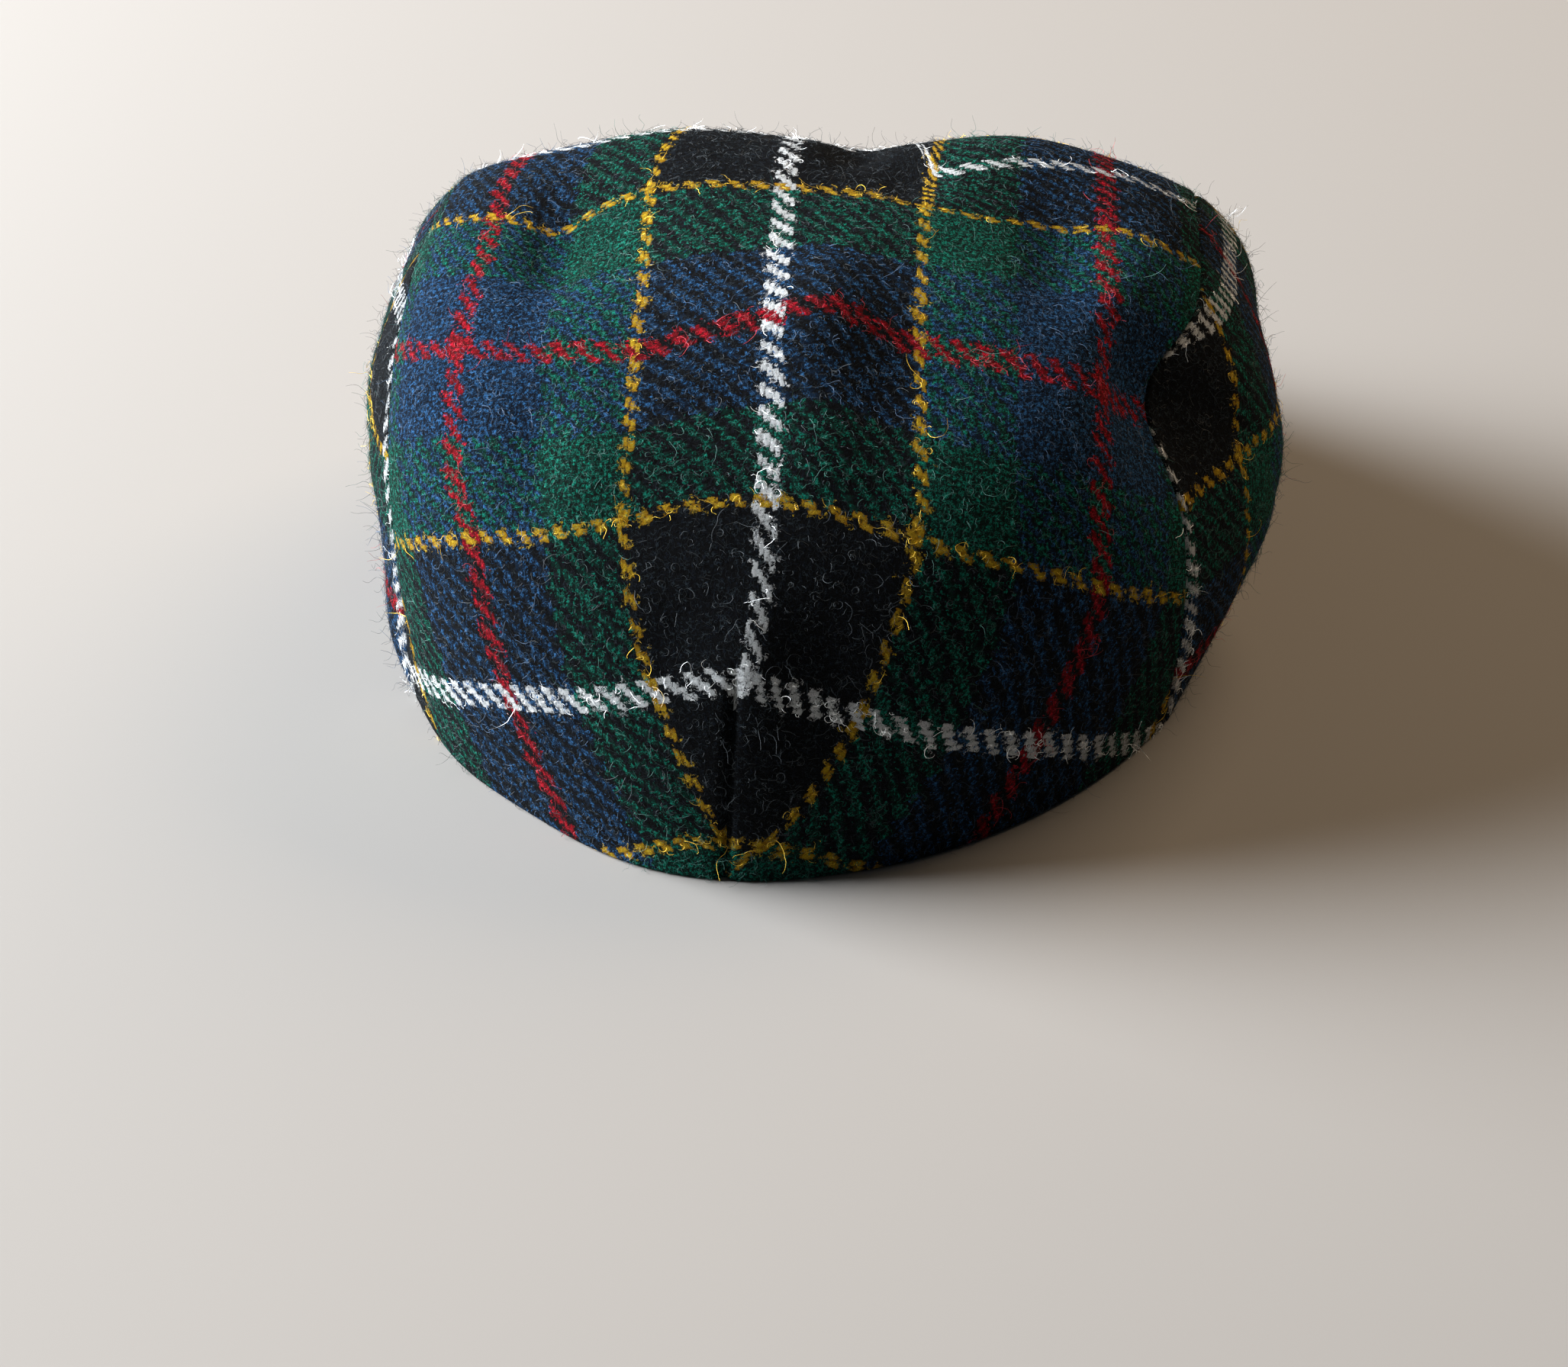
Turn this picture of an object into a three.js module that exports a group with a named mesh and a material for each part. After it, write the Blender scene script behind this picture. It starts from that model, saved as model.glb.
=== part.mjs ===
// Flat cap: a one-piece top with a dart at the back, two side panels, and a peak.
// Millimetres, +Z up, +Y to the front (the peak), +X to the wearer's right.
// The cap stands by itself: the back of the hem lies on z = 0 and the peak's two
// side edges touch z = 0. The tables below measure from the middle of the head
// opening; at the end the solids are moved so that the origin is under the
// middle of the whole cap.
import * as THREE from 'three';

// ---- named sizes -----------------------------------------------------------
const WALL = 2.4;          // sewn cloth shell, outside to inside
const GAP = 0.3;           // clearance kept between two sewn pieces
const ACROSS = 30;         // columns over the top panel, besides the dart's own
const ALONG = 36;          // rows from the back hem to the front edge
const SIDE_ACROSS = 7;     // rows down a side panel
const DART = { depth: 1.3, width: 1.8, end: 52 };   // groove of the back dart
const PEAK = {
  front: 153, corner: 48, half: 79, square: 0.06,   // outline
  thick: 4.5, height: 17.75, slope: 0.06, radius: 211, // top face
};
const RIM = { x: 84.5, y: 103 };                    // half sizes of the head opening
const MIDDLE = { x: 2.5, y: 25 };                   // middle of the cap, from the opening's

// Top panel, one row per section from the back hem (first) to the front edge
// (last). c*: the point on the centre line. s*: the point on the side seam.
// arc: how far round the section's arc runs, degrees. box: how square it is.
const TOP = table(['cx', 'cy', 'cz', 'sx', 'sy', 'sz', 'arc', 'box'], [
  [-8, -103.0, 0.0, 79, -37, 0.0, 69, 0.00],
  [-6, -99.2, 29.7, 82, -44, 30.0, 68, 0.00],
  [-4, -87.3, 57.1, 83, -44, 57.0, 68, 0.02],
  [-3, -66.9, 78.9, 84, -28, 75.0, 70, 0.04],
  [-3, -40.6, 93.1, 84, -5, 84.0, 70, 0.05],
  [-3, -11.6, 100.6, 83, 18, 88.0, 70, 0.06],
  [-3, 18.3, 101.5, 82, 40, 87.0, 70, 0.06],
  [-2, 47.1, 93.7, 81, 60, 79.0, 70, 0.06],
  [-1, 77.1, 75.8, 79, 80, 64.0, 70, 0.05],
  [0, 108.5, 50.9, 76, 96, 41.0, 68, 0.04],
  [0, 143.5, 13.4, 71, 106, 5.9, 66, 0.03],
]);

// Lower edge of a side panel, from the foot of its seam to its front tip.
// lift: 0 where the edge is hem at rest on z = 0, 1 where it lies on the peak.
const BASE = table(['x', 'y', 'lift'], [
  [79.0, -37, 0],
  [83.6, -15, 0],
  [84.6, 8, 0.1],
  [83.0, 26, 0.5],
  [79.3, 42, 1],
  [77.0, 60, 1],
  [75.8, 78, 1],
  [74.0, 93, 1],
  [71.0, 106, 1],
]);

// Slack cloth: each row pushes the shell by (px, py, pz) mm around one place,
// fading out over the radii rx, ry, rz.
const FOLDS = table(['x', 'y', 'z', 'rx', 'ry', 'rz', 'px', 'py', 'pz'], [
  [82, -34, 76, 16, 20, 17, -12, 4, 0],    // pinch at the right seam
  [100, 5, 50, 24, 40, 28, 5, 0, 0],       // right side stands out
  [96, 5, 24, 20, 34, 20, 4, 0, 0],        // and stays full low down
  [-28, 42, 100, 30, 35, 25, 0, 0, 6],     // left hump on top
  [44, 42, 100, 28, 35, 25, 0, 0, 5],      // right hump on top
  [-50, -84, 0, 32, 25, 35, 2, 5, 0],      // back left hangs flatter
  [-84, -26, 6, 16, 24, 18, -5, 0, 0],     // left foot stands out
  [-45, -6, 96, 16, 22, 20, 3, -2, -6],    // left crease
  [50, -2, 96, 16, 22, 20, -3, -2, -5],    // right crease
  [2, -38, 94, 22, 16, 20, 0, -2, 2],      // ridge between the creases
]);

// ---- helpers ---------------------------------------------------------------
function table(names, rows) {
  return rows.map((row) => Object.fromEntries(names.map((name, i) => [name, row[i]])));
}
const smooth = (t) => { const c = Math.min(1, Math.max(0, t)); return c * c * (3 - 2 * c); };
const V = (x, y, z) => new THREE.Vector3(x, y, z);

// one smooth value between the rows of a table (uniform Catmull-Rom), u from 0 to 1
function between(rows, name, u) {
  const n = rows.length;
  const at = (i) => {
    if (i < 0) return 2 * rows[0][name] - rows[1][name];
    if (i > n - 1) return 2 * rows[n - 1][name] - rows[n - 2][name];
    return rows[i][name];
  };
  const p = Math.min(1, Math.max(0, u)) * (n - 1);
  const i = Math.min(Math.floor(p), n - 2);
  const w = p - i;
  const [p0, p1, p2, p3] = [at(i - 1), at(i), at(i + 1), at(i + 2)];
  const v0 = (p2 - p0) / 2, v1 = (p3 - p1) / 2;
  return (2 * p1 - 2 * p2 + v0 + v1) * w ** 3
    + (-3 * p1 + 3 * p2 - 2 * v0 - v1) * w ** 2 + v0 * w + p1;
}

const peakTop = (x, y) => PEAK.height - PEAK.slope * (y - RIM.y) - x * x / (2 * PEAK.radius);

// ---- the shell's outside before folding --------------------------------------
// a: -1 left seam .. 0 centre .. 1 right seam; v: 0 back hem .. 1 front edge
function topBase(a, v) {
  const r = Object.fromEntries(Object.keys(TOP[0]).map((name) => [name, between(TOP, name, v)]));
  const end = THREE.MathUtils.degToRad(r.arc);
  const turn = end * Math.abs(a);
  const S = (t) => Math.sin(t) + r.box * Math.sin(3 * t);
  const C = (t) => Math.cos(t) - r.box * Math.cos(3 * t);
  const d = (C(turn) - C(end)) / (C(0) - C(end));
  return V(Math.sign(a) * r.sx * S(turn) / S(end) + r.cx * d,
    r.sy + (r.cy - r.sy) * d, r.sz + (r.cz - r.sz) * d);
}

// the front edge is let down onto the peak, the rows behind it following less and less
function topShape(a, v) {
  const p = topBase(a, v);
  const edge = topBase(a, 1);
  p.z += (peakTop(edge.x, edge.y) + GAP - edge.z) * smooth((v - 0.8) / 0.2);
  return p;
}

function basePoint(w) {
  const x = between(BASE, 'x', w), y = between(BASE, 'y', w);
  const lift = Math.min(1, Math.max(0, between(BASE, 'lift', w)));
  return { x, y, lift, point: V(x, y, lift * (peakTop(x, y) + GAP)) };
}

// side panel (right hand): b 0 at the seam .. 1 at the lower edge; w 0 foot .. 1 tip
function sideShape(b, w) {
  const h = 0.002;
  const seam = topShape(1, w);
  const along = topShape(1, Math.min(1, w + h)).sub(topShape(1, Math.max(0, w - h))).normalize();
  const over = topShape(1, w).sub(topShape(1 - h, w));
  const face = over.clone().cross(along).normalize();
  if (face.x < 0) face.negate();
  const away = along.clone().cross(face).normalize();
  if (away.dot(over) < 0) away.negate();
  const foot = basePoint(w).point;
  const reach = foot.distanceTo(seam) * 1.1;
  const down = V(-0.42, 0, -0.9).normalize().multiplyScalar(reach);
  const b2 = b * b, b3 = b2 * b;
  return seam.multiplyScalar(2 * b3 - 3 * b2 + 1)
    .add(away.multiplyScalar((b3 - 2 * b2 + b) * reach))
    .add(foot.multiplyScalar(-2 * b3 + 3 * b2))
    .add(down.multiplyScalar(b3 - b2));
}

// ---- slack -------------------------------------------------------------------
function fold(p) {
  const q = p.clone();
  const rise = smooth((p.z - 2) / 18);   // nothing is lifted off its hem
  for (const f of FOLDS) {
    const k = Math.exp(-(((p.x - f.x) / f.rx) ** 2) - ((p.y - f.y) / f.ry) ** 2 - ((p.z - f.z) / f.rz) ** 2);
    q.x += f.px * k; q.y += f.py * k; q.z += f.pz * k * rise;
  }
  return q;
}
const topPoint = (a, v) => fold(topShape(a, v));
const sidePoint = (side, b, w) => { const p = sideShape(b, w); p.x *= side; return fold(p); };

// outward unit normal of a surface given as point(i, j), from small steps
function facing(point, i, j, lo, outward) {
  const h = 0.004;
  const di = point(Math.min(1, i + h), j).sub(point(Math.max(lo, i - h), j));
  const dj = point(i, Math.min(1, j + h)).sub(point(i, Math.max(0, j - h)));
  const n = di.cross(dj).normalize();
  return n.dot(outward) < 0 ? n.negate() : n;
}
const INSIDE = V(0, 0, 20);   // a point inside the crown, to tell out from in

function topNormal(a, v) {
  return facing(topPoint, a, v, -1, topPoint(a, v).sub(INSIDE));
}
function sideNormal(side, b, w) {
  const keep = Math.min(0.985, Math.max(0.015, w));
  const at = (i, j) => sidePoint(side, i, j);
  return facing(at, b, keep, 0, sidePoint(side, b, keep).sub(INSIDE));
}
// both panels share one frame at their seam, so the joint stays an even gap
function seamFrame(side, v) {
  const h = 0.004;
  const p = topPoint(side, v);
  const n = topNormal(side, v).add(sideNormal(side, 0, v)).normalize();
  const along = topPoint(side, Math.min(1, v + h)).sub(topPoint(side, Math.max(0, v - h))).normalize();
  const away = along.clone().cross(n).normalize();
  if (away.dot(p.clone().sub(topPoint(side * 0.98, v))) < 0) away.negate();
  return { p, n, away };
}

// inside point under an outside point p; an edge that rests (on the floor or on
// the peak) keeps its own level instead of following the wall
function inside(p, n, lift) {
  if (lift === undefined) return p.clone().addScaledVector(n, -WALL);
  const flat = Math.hypot(n.x, n.y);
  const step = WALL / Math.max(flat, 0.7) / Math.max(flat, 1e-6);
  const x = p.x - n.x * step, y = p.y - n.y * step;
  return V(x, y, lift * (peakTop(x, y) + GAP));
}
// keeps a resting edge on its level after the folds have moved it
const settle = (p, lift) => V(p.x, p.y, lift * (peakTop(p.x, p.y) + GAP));

// ---- solids ------------------------------------------------------------------
// closed solid between an outside grid and an inside grid of the same size
function shellSolid(outer, inner) {
  const rows = outer.length, cols = outer[0].length;
  const points = [], faces = [], index = new Map();
  const add = (p) => {
    const key = [p.x, p.y, p.z].map((c) => Math.round(c * 1e4)).join();
    if (!index.has(key)) { index.set(key, points.length); points.push(p); }
    return index.get(key);
  };
  const o = outer.map((row) => row.map(add)), i = inner.map((row) => row.map(add));
  const tri = (a, b, c) => { if (a !== b && b !== c && a !== c) faces.push(a, b, c); };
  const quad = (a, b, c, d) => {
    const across = points[a].distanceTo(points[c]), other = points[b].distanceTo(points[d]);
    if (across <= other) { tri(a, b, c); tri(a, c, d); } else { tri(a, b, d); tri(b, c, d); }
  };
  for (let r = 0; r < rows - 1; r++) for (let c = 0; c < cols - 1; c++) {
    quad(o[r][c], o[r][c + 1], o[r + 1][c + 1], o[r + 1][c]);
    quad(i[r][c], i[r + 1][c], i[r + 1][c + 1], i[r][c + 1]);
  }
  for (let c = 0; c < cols - 1; c++) {
    quad(o[0][c], i[0][c], i[0][c + 1], o[0][c + 1]);
    quad(o[rows - 1][c], o[rows - 1][c + 1], i[rows - 1][c + 1], i[rows - 1][c]);
  }
  for (let r = 0; r < rows - 1; r++) {
    quad(o[r][0], o[r + 1][0], i[r + 1][0], i[r][0]);
    quad(o[r][cols - 1], i[r][cols - 1], i[r + 1][cols - 1], o[r + 1][cols - 1]);
  }
  const geometry = new THREE.BufferGeometry();
  geometry.setAttribute('position', new THREE.Float32BufferAttribute(points.flatMap((p) => [p.x, p.y, p.z]), 3));
  geometry.setIndex(faces);
  geometry.computeVertexNormals();
  return geometry;
}
// turns a solid's faces over when its volume comes out negative
function outwards(geometry) {
  const at = geometry.getAttribute('position'), idx = geometry.getIndex().array;
  let volume = 0;
  const p = [V(), V(), V()];
  for (let k = 0; k < idx.length; k += 3) {
    for (let j = 0; j < 3; j++) p[j].fromBufferAttribute(at, idx[k + j]);
    volume += p[0].dot(p[1].clone().cross(p[2])) / 6;
  }
  if (volume < 0) for (let k = 0; k < idx.length; k += 3) [idx[k], idx[k + 1]] = [idx[k + 1], idx[k]];
  geometry.computeVertexNormals();
  return geometry;
}

const vs = Array.from({ length: ALONG + 1 }, (_, k) => k / ALONG);

function topPanel() {
  // even columns, and four close to the centre line for the dart
  const half = Array.from({ length: ACROSS / 2 - 1 }, (_, k) => 0.1 + 0.9 * (k + 1) / (ACROSS / 2 - 1));
  const near = [0.018, 0.04, 0.1];
  const as = [...half.map((a) => -a).reverse(), ...near.map((a) => -a).reverse(), 0, ...near, ...half];
  const outer = [], inner = [];
  for (const v of vs) {
    const o = [], i = [];
    const lift = v === 0 ? 0 : v === 1 ? 1 : undefined;
    for (const a of as) {
      let p, n;
      if (Math.abs(a) === 1) {
        const f = seamFrame(a, v);
        p = f.p.addScaledVector(f.away, -GAP / 2);
        n = f.n;
      } else {
        p = topPoint(a, v);
        n = topNormal(a, v);
        const up = Math.max(0, p.z), aside = p.distanceTo(topPoint(0, v));
        if (v < 0.3) p.addScaledVector(n, -DART.depth * Math.exp(-((aside / DART.width) ** 2)) * smooth((DART.end - up) / 14));
      }
      if (lift !== undefined) p = settle(p, lift);
      o.push(p);
      i.push(inside(p, n, lift));
    }
    outer.push(o); inner.push(i);
  }
  return outwards(shellSolid(outer, inner));
}

function sidePanel(side) {
  const outer = [], inner = [];
  for (const w of vs) {
    const o = [], i = [];
    for (let k = 0; k <= SIDE_ACROSS; k++) {
      const b = k / SIDE_ACROSS;
      const lift = b === 1 || w === 0 || w === 1 ? basePoint(w).lift : undefined;
      const f = seamFrame(side, w);
      let p, n;
      if (b === 0 || w === 0 || w === 1) { p = f.p.addScaledVector(f.away, GAP / 2); n = f.n; }
      else { p = sidePoint(side, b, w); n = sideNormal(side, b, w); }
      if (lift !== undefined) p = settle(p, lift);
      o.push(p);
      i.push(inside(p, n, lift));
    }
    outer.push(o); inner.push(i);
  }
  return outwards(shellSolid(outer, inner));
}

// outline of the peak at turn t (-90 left corner .. 90 right corner)
function peakEdge(t) {
  const k = PEAK.square;
  return [PEAK.half * (Math.sin(t) + k * Math.sin(3 * t)) / (1 - k),
    PEAK.corner + (PEAK.front - PEAK.corner) * (Math.cos(t) - k * Math.cos(3 * t)) / (1 - k)];
}
function peakSolid() {
  const turnEnd = Math.acos(PEAK.corner / RIM.y);     // where the opening meets the peak's corner
  const upper = [], lower = [];
  for (let r = 0; r <= 5; r++) {
    const up = [], low = [];
    for (let c = 0; c <= 32; c++) {
      const s = -1 + 2 * c / 32;
      const inX = RIM.x * Math.sin(s * turnEnd), inY = RIM.y * Math.cos(s * turnEnd);
      const [outX, outY] = peakEdge(s * Math.PI / 2);
      const x = inX + (outX - inX) * r / 5, y = inY + (outY - inY) * r / 5;
      up.push(V(x, y, peakTop(x, y)));
      low.push(V(x, y, peakTop(x, y) - PEAK.thick));
    }
    upper.push(up); lower.push(low);
  }
  return outwards(shellSolid(upper, lower));
}

// ---- the part ------------------------------------------------------------------
const cloth = (name, color) => new THREE.MeshStandardMaterial({ name, color, roughness: 0.95, metalness: 0 });
const group = new THREE.Group();
group.name = 'flat_cap';
const put = (name, geometry, material) => {
  geometry.translate(-MIDDLE.x, -MIDDLE.y, 0);
  const mesh = new THREE.Mesh(geometry, material);
  mesh.name = name;
  group.add(mesh);
};
put('top_panel', topPanel(), cloth('cloth_top', 0x1c3a3a));
put('side_panel_left', sidePanel(-1), cloth('cloth_left', 0x1a3340));
put('side_panel_right', sidePanel(1), cloth('cloth_right', 0x1a3340));
put('peak', peakSolid(), cloth('cloth_peak', 0x16302e));

export default group;
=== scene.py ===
# %% [markdown]
# # A flat cap in checked wool
# The real thing is sewn from one large top panel, two side panels and a stiff peak.
# The top panel runs from the back hem over the crown to the peak and is taken in at
# the back by one dart. The cloth is a soft woollen twill in a dark tartan. This
# lesson dresses the measured solids: first the cloth's shape and threads, then its
# weave, then the loose fibres that make wool look like wool.

# %% Load the measured model
import math

import bpy
import numpy as np
from mathutils import Matrix, Vector


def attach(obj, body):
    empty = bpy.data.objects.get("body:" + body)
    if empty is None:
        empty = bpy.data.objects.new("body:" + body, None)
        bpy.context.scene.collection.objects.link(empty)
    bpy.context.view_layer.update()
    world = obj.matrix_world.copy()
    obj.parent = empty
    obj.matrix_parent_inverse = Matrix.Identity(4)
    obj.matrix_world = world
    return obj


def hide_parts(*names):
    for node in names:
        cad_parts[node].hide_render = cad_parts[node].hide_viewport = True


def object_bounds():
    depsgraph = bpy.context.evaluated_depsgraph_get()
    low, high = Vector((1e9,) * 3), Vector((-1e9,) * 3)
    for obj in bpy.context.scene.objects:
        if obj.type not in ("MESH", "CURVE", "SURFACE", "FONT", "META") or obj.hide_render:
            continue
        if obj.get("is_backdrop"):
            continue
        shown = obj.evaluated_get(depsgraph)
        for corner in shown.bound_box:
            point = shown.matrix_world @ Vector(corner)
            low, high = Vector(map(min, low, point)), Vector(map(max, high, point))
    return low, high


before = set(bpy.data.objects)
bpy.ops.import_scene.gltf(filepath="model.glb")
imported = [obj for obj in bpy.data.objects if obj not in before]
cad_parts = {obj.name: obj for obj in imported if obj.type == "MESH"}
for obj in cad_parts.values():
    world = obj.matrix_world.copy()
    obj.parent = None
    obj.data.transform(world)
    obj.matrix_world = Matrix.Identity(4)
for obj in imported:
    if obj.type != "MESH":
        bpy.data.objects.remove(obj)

MM = 0.001  # the tables are in millimetres, Blender in metres
cad_low, cad_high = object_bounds()
print("solids:", [round(c / MM, 1) for c in cad_high - cad_low], "mm")

# %% [markdown]
# ## The camera
# The cap is looked at from behind and above, through a short telephoto lens, which
# keeps the crown from swelling towards the lens. The camera is placed by two angles
# round a point on the back of the cap, and leans by a small roll, because a camera
# held in the hand is seldom level.

# %% Camera
LOOK_AT = Vector((2.3, -120.0, 42.5)) * MM  # a point on the back of the cap
AZIMUTH, ELEVATION, ROLL = (math.radians(d) for d in (7.0, 31.0, -1.8))
DISTANCE = 760 * MM
SENSOR, LENS = 36.0, 88.8  # mm
toward = Vector((math.sin(AZIMUTH) * math.cos(ELEVATION),
                 -math.cos(AZIMUTH) * math.cos(ELEVATION), math.sin(ELEVATION)))
level = Vector((0, 0, 1)).cross(toward).normalized()
upward = toward.cross(level)
right = level * math.cos(ROLL) + upward * math.sin(ROLL)
upward = upward * math.cos(ROLL) - level * math.sin(ROLL)
bpy.ops.object.camera_add()
camera = bpy.context.object
camera.name = "camera"
camera.data.sensor_width, camera.data.lens = SENSOR, LENS
camera.data.clip_start = 10 * MM
camera.matrix_world = Matrix.Translation(LOOK_AT + toward * DISTANCE) @ Matrix(
    (right, upward, toward)).transposed().to_4x4()
bpy.context.scene.camera = camera
print("camera at", [round(c, 3) for c in camera.location])

# %% [markdown]
# ## The measured tables
# The panels are lofted through short tables: one row per section of the top panel,
# one row per point of the side panels' lower edge, and one row per fold of slack
# cloth. The tables measure from the middle of the head opening, and OPENING moves
# them into the model's frame.
# A cloth shell bends both ways at once, which extruding and bevelling can't give, so
# each panel starts as a flat grid, like the cut cloth, and its vertices are then laid
# on the lofted surface.

# %% Tables of the shell
OPENING = np.array([2.5, 25.0, 0.0])  # middle of the cap, from the opening's
WALL, GAP = 2.4, 0.3  # thickness of the sewn cloth, clearance at a seam
RIM = (84.5, 103.0)  # half sizes of the head opening
PEAK = dict(front=153, corner=48, half=79, square=0.06,
            thick=4.5, height=17.75, slope=0.06, radius=211)

# centre x y z, seam x y z, arc of the section in degrees, squareness; back hem first
TOP = np.array([
    [-8, -103.0, 0.0, 79, -37, 0.0, 69, 0.00],
    [-6, -99.2, 29.7, 82, -44, 30.0, 68, 0.00],
    [-4, -87.3, 57.1, 83, -44, 57.0, 68, 0.02],
    [-3, -66.9, 78.9, 84, -28, 75.0, 70, 0.04],
    [-3, -40.6, 93.1, 84, -5, 84.0, 70, 0.05],
    [-3, -11.6, 100.6, 83, 18, 88.0, 70, 0.06],
    [-3, 18.3, 101.5, 82, 40, 87.0, 70, 0.06],
    [-2, 47.1, 93.7, 81, 60, 79.0, 70, 0.06],
    [-1, 77.1, 75.8, 79, 80, 64.0, 70, 0.05],
    [0, 108.5, 50.9, 76, 96, 41.0, 68, 0.04],
    [0, 143.5, 13.4, 71, 106, 5.9, 66, 0.03],
])
# x y of a side panel's lower edge, and lift: 0 on the floor .. 1 on the peak
BASE = np.array([
    [79.0, -37, 0], [83.6, -15, 0], [84.6, 8, 0.1], [83.0, 26, 0.5], [79.3, 42, 1],
    [77.0, 60, 1], [75.8, 78, 1], [74.0, 93, 1], [71.0, 106, 1],
])
# slack cloth: place x y z, reach x y z, push x y z
FOLDS = np.array([
    [82, -34, 76, 16, 20, 17, -12, 4, 0],# pinch at the right seam
    [100, 5, 50, 24, 40, 28, 5, 0, 0],  # right side stands out
    [96, 5, 24, 20, 34, 20, 4, 0, 0],   # and stays full low down
    [-28, 42, 100, 30, 35, 25, 0, 0, 6],# left hump on top
    [44, 42, 100, 28, 35, 25, 0, 0, 5], # right hump on top
    [-50, -84, 0, 32, 25, 35, 2, 5, 0], # back left hangs flatter
    [-84, -26, 6, 16, 24, 18, -5, 0, 0],# left foot stands out
    [-45, -6, 96, 16, 22, 20, 3, -2, -6],# left crease
    [50, -2, 96, 16, 22, 20, -3, -2, -5],# right crease
    [2, -38, 94, 22, 16, 20, 0, -2, 2], # ridge between the creases
])
LET_DOWN = 0.2  # share of the top panel that comes down on the peak
BULGE = 1.1  # how full a side panel is, 1 for a plain curve
HEM_WAY = np.array([-0.42, 0, -0.9])  # direction in which it meets its lower edge
HELD = dict(below=2, over=18)  # the hem isn't lifted; mm up to where cloth is free
print("tables:", TOP.shape, BASE.shape, FOLDS.shape)

# %% Curves and sections
def smooth(t):
    """0 to 1 with soft ends."""
    t = np.clip(t, 0, 1)
    return t * t * (3 - 2 * t)


def between(rows, u):
    """A smooth value between evenly spaced rows of a table, u from 0 to 1."""
    n = len(rows)
    at = np.clip(u, 0, 1) * (n - 1)
    i = np.minimum(np.floor(at).astype(int), n - 2)
    w = (at - i)[..., None]
    more = np.vstack([2 * rows[0] - rows[1], rows, 2 * rows[-1] - rows[-2]])
    p0, p1, p2, p3 = more[i], more[i + 1], more[i + 2], more[i + 3]
    v0, v1 = (p2 - p0) / 2, (p3 - p1) / 2
    return ((2 * p1 - 2 * p2 + v0 + v1) * w**3
            + (3 * p2 - 3 * p1 - 2 * v0 - v1) * w**2 + v0 * w + p1)


def unit(v):
    """Vectors at length one."""
    return v / np.maximum(np.linalg.norm(v, axis=-1, keepdims=True), 1e-9)


def peak_top(x, y):
    """Height of the peak's upper face."""
    return PEAK["height"] - PEAK["slope"] * (y - RIM[1]) - x * x / (2 * PEAK["radius"])


def section(a, v):
    """The top panel before it is let down on the peak; a -1..1 across, v 0..1 along."""
    cx, cy, cz, sx, sy, sz, arc, box = np.moveaxis(between(TOP, v), -1, 0)
    end, turn = np.radians(arc), np.radians(arc) * np.abs(a)
    wide = lambda t: np.sin(t) + box * np.sin(3 * t)
    high = lambda t: np.cos(t) - box * np.cos(3 * t)
    d = (high(turn) - high(end)) / (high(0 * end) - high(end))
    return np.stack([np.sign(a) * sx * wide(turn) / wide(end) + cx * d,
                     sy + (cy - sy) * d, sz + (cz - sz) * d], -1)


def top_shape(a, v):
    """The top panel with its front laid on the peak."""
    p, edge = section(a, v), section(a, np.ones_like(v))
    drop = peak_top(edge[..., 0], edge[..., 1]) + GAP - edge[..., 2]
    p[..., 2] += drop * smooth((v - (1 - LET_DOWN)) / LET_DOWN)
    return p


def side_shape(b, w):
    """The right side panel; b 0 seam .. 1 lower edge, w 0 foot .. 1 front tip."""
    h, one = 0.002, np.ones_like(w)  # h: a small step, to find directions
    seam = top_shape(one, w)
    along = unit(top_shape(one, np.minimum(1, w + h)) - top_shape(one, np.maximum(0, w - h)))
    over = seam - top_shape(one - h, w)
    face = unit(np.cross(over, along))
    face = np.where(face[..., :1] < 0, -face, face)
    away = unit(np.cross(along, face))
    away = np.where((away * over).sum(-1, keepdims=True) < 0, -away, away)
    x, y, lift = np.moveaxis(between(BASE, w), -1, 0)
    foot = np.stack([x, y, np.clip(lift, 0, 1) * (peak_top(x, y) + GAP)], -1)
    reach = np.linalg.norm(foot - seam, axis=-1, keepdims=True) * BULGE
    down = unit(HEM_WAY) * reach
    b = b[..., None]
    return ((2 * b**3 - 3 * b**2 + 1) * seam + (b**3 - 2 * b**2 + b) * away * reach
            + (3 * b**2 - 2 * b**3) * foot + (b**3 - b**2) * down)


def fold(p):
    """Places pushed by the folds; nothing is lifted off its hem."""
    out = p.copy()
    rise = np.ones(p.shape)
    rise[..., 2] = smooth((p[..., 2] - HELD["below"]) / HELD["over"])
    for row in FOLDS:
        reach = (p - row[:3]) / row[3:6]
        out += rise * np.exp(-(reach**2).sum(-1, keepdims=True)) * row[6:]
    return out


def top_point(a, v):
    return fold(top_shape(a, v))


def side_point(side, b, w):
    return fold(side_shape(b, w) * np.array([side, 1, 1]))


spine = top_point(np.zeros(101), np.linspace(0, 1, 101))
print("crown height", spine[:, 2].max().round(1), "mm")

# %% [markdown]
# ## Out of the surface and in
# Cloth has a thickness, and where two pieces are sewn together both roll into the
# seam. For that each point of a panel needs the direction that faces out, and the
# two panels at a seam must agree on it, or the joint would open and close. So the
# facing is measured from small steps over the surface, and shared at the seam.

# %% Facing
HEART = np.array([0, 0, 20.0])  # a point inside the crown, to tell out from in
STEP = 0.004  # small step over a panel, as a part of it
TIPS = (0.015, 0.985)  # a side panel's points, where no facing is measured


def facing(point, i, j, low):
    """The direction that faces out; low is where the parameter i starts."""
    di = point(np.minimum(1, i + STEP), j) - point(np.maximum(low, i - STEP), j)
    dj = point(i, np.minimum(1, j + STEP)) - point(i, np.maximum(0, j - STEP))
    n = unit(np.cross(di, dj))
    out = ((point(i, j) - HEART) * n).sum(-1, keepdims=True)
    return np.where(out < 0, -n, n)


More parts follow.
